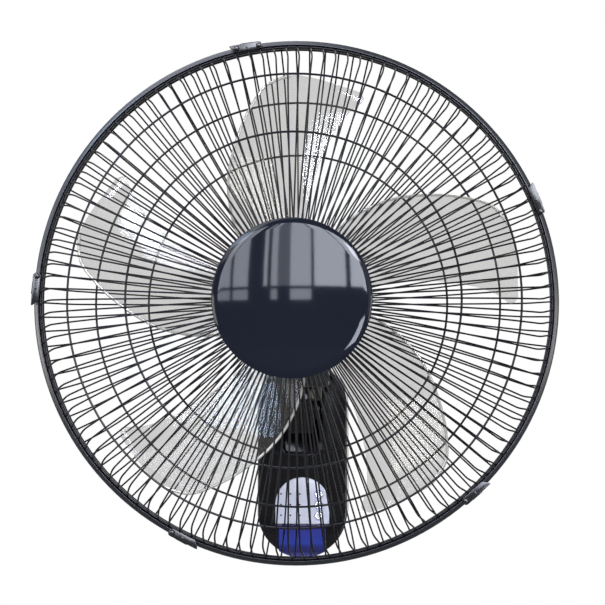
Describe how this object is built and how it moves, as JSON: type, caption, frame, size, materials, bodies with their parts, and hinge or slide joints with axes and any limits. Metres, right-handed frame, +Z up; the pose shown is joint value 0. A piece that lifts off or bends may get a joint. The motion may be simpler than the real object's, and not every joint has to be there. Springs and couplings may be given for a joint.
{
  "type": "wall mounted fan",
  "caption": "Wall fan: wire guard, smoky see-through blades, and a motor head that swings and tilts on a neck, on a slim wall body with push buttons and a sensor window.",
  "frame": {"origin": "middle of the wall plate's back face, on the wall", "axes": "+Y points into the wall and the fan blows towards -Y; +Z is up; +X is to the right seen from the front"},
  "size_m": [0.452, 0.3245, 0.459],
  "materials": {
    "black_gloss": "piano black moulded plastic",
    "black_satin": "satin black moulded plastic",
    "cap_navy": "high gloss dark navy",
    "hoop_plastic": "gloss blue-black",
    "wire_paint": "blue-black coated steel wire",
    "blade_smoke": "clear smoky grey plastic",
    "panel_pearl": "pearl lavender",
    "button_silver": "silver lacquer",
    "blue_lens": "tinted clear blue",
    "clear_guide": "clear light guide",
    "circuit_board": "solder mask",
    "grommet_rubber": "matte",
    "plated_steel": "zinc plated sheet",
    "steel": "bright steel",
    "nylon": "natural nylon",
    "cast_aluminium": "die cast",
    "laminations": "stacked sheet steel",
    "copper_winding": "enamelled copper wire, as one solid ring"
  },
  "bodies": {
    "base": {"wall_plate": "plated_steel", "rear_cover": "black_satin", "front_cover": "black_gloss", "control_panel": "panel_pearl", "receiver_window": "blue_lens", "light_guide": "clear_guide", "control_board": "circuit_board", "infrared_receiver": "black_satin", "run_capacitor": "black_satin", "cord_grommet": "grommet_rubber", "body_screw_1": "steel", "body_screw_2": "steel", "body_screw_3": "steel", "body_screw_4": "steel", "lock_screw": "steel", "neck_cradle": "black_satin", "tilt_bolt": "steel", "tilt_nut": "steel"},
    "power_key": {"power_button": "button_silver"},
    "timer_key": {"timer_button": "button_silver"},
    "swing_key": {"swing_button": "button_silver"},
    "neck": {"neck_arm": "black_gloss", "swivel_pin": "steel", "swivel_washer": "nylon", "link_pin": "steel"},
    "head": {"motor_casing_rear": "cast_aluminium", "motor_casing_front": "cast_aluminium", "stator_core": "laminations", "winding_front": "copper_winding", "winding_rear": "copper_winding", "bearing_front": "steel", "bearing_rear": "steel", "motor_shell": "black_satin", "guard_mount_plate": "black_satin", "guard_nut": "black_satin", "rear_guard_wires": "wire_paint", "rear_ring_outer": "wire_paint", "rear_ring_inner": "wire_paint", "rear_rim_wire": "wire_paint", "guard_hoop": "hoop_plastic", "front_rim_wire": "wire_paint", "front_ring_outer": "wire_paint", "front_ring_inner": "wire_paint", "front_guard_wires": "wire_paint", "centre_cap": "cap_navy", "cap_back_plate": "black_satin", "swing_motor": "plated_steel", "swing_cover": "black_satin"},
    "crank": {"swing_crank": "nylon"},
    "link": {"swing_link": "plated_steel"},
    "rotor": {"motor_shaft": "steel", "rotor_core": "laminations", "fan_blade": "blade_smoke", "spinner_nut": "black_satin", "drive_pin": "steel"},
    "clip_1": {"guard_clip_1": "hoop_plastic"},
    "clip_2": {"guard_clip_2": "hoop_plastic"},
    "clip_3": {"guard_clip_3": "hoop_plastic"},
    "clip_4": {"guard_clip_4": "hoop_plastic"},
    "clip_5": {"guard_clip_5": "hoop_plastic"}
  },
  "joints": [
    {"name": "head_tilt", "type": "hinge", "parent": "base", "child": "neck", "pos_m": [0, -0.078, 0.045], "axis": [1, 0, 0], "range_deg": [-10, 25]},
    {"name": "head_swing", "type": "hinge", "parent": "neck", "child": "head", "pos_m": [0, -0.125, 0.074], "axis": [0, 0, 1], "range_deg": [-40, 40]},
    {"name": "blade_spin", "type": "hinge", "parent": "head", "child": "rotor", "pos_m": [0, -0.15, 0.14], "axis": [0, 1, 0], "continuous": true},
    {"name": "crank_turn", "type": "hinge", "parent": "head", "child": "crank", "pos_m": [0.0057, -0.165, 0.0756], "axis": [0, 0, 1], "range_deg": [-72, 72]},
    {"name": "link_turn", "type": "hinge", "parent": "crank", "child": "link", "pos_m": [0.016, -0.165, 0.0723], "axis": [0, 0, 1], "range_deg": [-72, 72]},
    {"name": "clip_1_turn", "type": "hinge", "parent": "head", "child": "clip_1", "pos_m": [0.20927, -0.2588, 0.21617], "axis": [0, 1, 0], "range_deg": [0, 100]},
    {"name": "clip_2_turn", "type": "hinge", "parent": "head", "child": "clip_2", "pos_m": [-0.03099, -0.2588, 0.36053], "axis": [0, 1, 0], "range_deg": [0, 100]},
    {"name": "clip_3_turn", "type": "hinge", "parent": "head", "child": "clip_3", "pos_m": [-0.2216, -0.2588, 0.16212], "axis": [0, 1, 0], "range_deg": [0, 100]},
    {"name": "clip_4_turn", "type": "hinge", "parent": "head", "child": "clip_4", "pos_m": [-0.10455, -0.2588, -0.05663], "axis": [0, 1, 0], "range_deg": [0, 100]},
    {"name": "clip_5_turn", "type": "hinge", "parent": "head", "child": "clip_5", "pos_m": [0.14463, -0.2588, -0.02934], "axis": [0, 1, 0], "range_deg": [0, 100]},
    {"name": "power_press", "type": "slide", "parent": "base", "child": "power_key", "axis": [0, 1, 0], "range_m": [0, 0.001], "stiffness_N_per_m": 400},
    {"name": "timer_press", "type": "slide", "parent": "base", "child": "timer_key", "axis": [0, 1, 0], "range_m": [0, 0.001], "stiffness_N_per_m": 400},
    {"name": "swing_press", "type": "slide", "parent": "base", "child": "swing_key", "axis": [0, 1, 0], "range_m": [0, 0.001], "stiffness_N_per_m": 400}
  ],
  "couplings": [
    {"joint": "crank_turn", "follows": "head_swing", "ratio": -1.8},
    {"joint": "link_turn", "follows": "head_swing", "ratio": 1.8}
  ]
}
